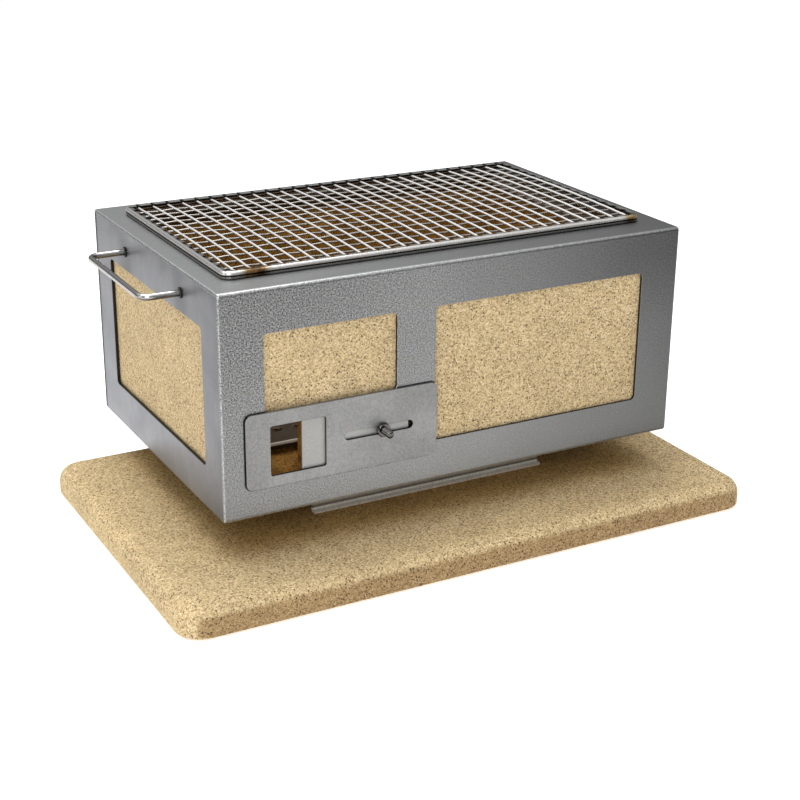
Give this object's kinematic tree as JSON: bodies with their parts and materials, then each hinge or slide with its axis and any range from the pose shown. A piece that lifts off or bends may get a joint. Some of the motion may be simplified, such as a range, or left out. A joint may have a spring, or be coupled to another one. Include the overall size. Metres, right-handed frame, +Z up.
{
  "type": "hibachi grill",
  "caption": "Table-top charcoal grill: steel box lined with vermiculite board, with a lift-off net, a sliding air damper, end handles, and a loose vermiculite base board.",
  "frame": {"origin": "on the underside of the base board, straight below the middle of the steel box", "axes": "+X along the front to the right, +Y from the front to the back, +Z up; the damper is on the -Y side"},
  "size_m": [0.5, 0.328, 0.238],
  "materials": {
    "board_vermiculite": "matte",
    "lining_vermiculite": "matte",
    "casing_steel": "satin",
    "panel_steel": "satin",
    "vent_steel": "satin",
    "damper_steel": "satin",
    "foot_steel": "satin",
    "handle_steel": "polished",
    "fastener_steel": "satin",
    "inner_steel": "satin",
    "net_steel": "polished"
  },
  "bodies": {
    "base": {"base_board": "board_vermiculite"},
    "firebox": {"casing_wrap": "casing_steel", "left_side_panel": "panel_steel", "right_side_panel": "panel_steel", "bottom_plate": "foot_steel", "floor_liner": "lining_vermiculite", "front_liner": "lining_vermiculite", "back_liner": "lining_vermiculite", "left_liner": "lining_vermiculite", "right_liner": "lining_vermiculite", "vent_plate": "vent_steel", "left_handle": "handle_steel", "right_handle": "handle_steel", "handle_collars": "fastener_steel", "handle_nuts": "fastener_steel", "left_ledge": "inner_steel", "right_ledge": "inner_steel", "ledge_screws": "fastener_steel", "front_foot": "foot_steel", "rear_foot": "foot_steel", "bottom_rivets": "fastener_steel", "foot_rivets": "fastener_steel"},
    "damper": {"damper_plate": "damper_steel", "damper_stud": "fastener_steel", "damper_nut": "fastener_steel"},
    "grate": {"charcoal_grate": "inner_steel", "grate_feet": "inner_steel"},
    "net": {"net_rim": "net_steel", "net_long_wires": "net_steel", "net_cross_wires": "net_steel"}
  },
  "joints": [
    {"name": "firebox_lift", "type": "slide", "parent": "base", "child": "firebox", "axis": [0, 0, 1], "range_m": [0, 0.15]},
    {"name": "damper_slide", "type": "slide", "parent": "firebox", "child": "damper", "axis": [1, 0, 0], "range_m": [-0.0285, 0.0195]},
    {"name": "grate_lift", "type": "slide", "parent": "firebox", "child": "grate", "axis": [0, 0, 1], "range_m": [0, 0.12]},
    {"name": "net_lift", "type": "slide", "parent": "firebox", "child": "net", "axis": [0, 0, 1], "range_m": [0, 0.15]}
  ]
}
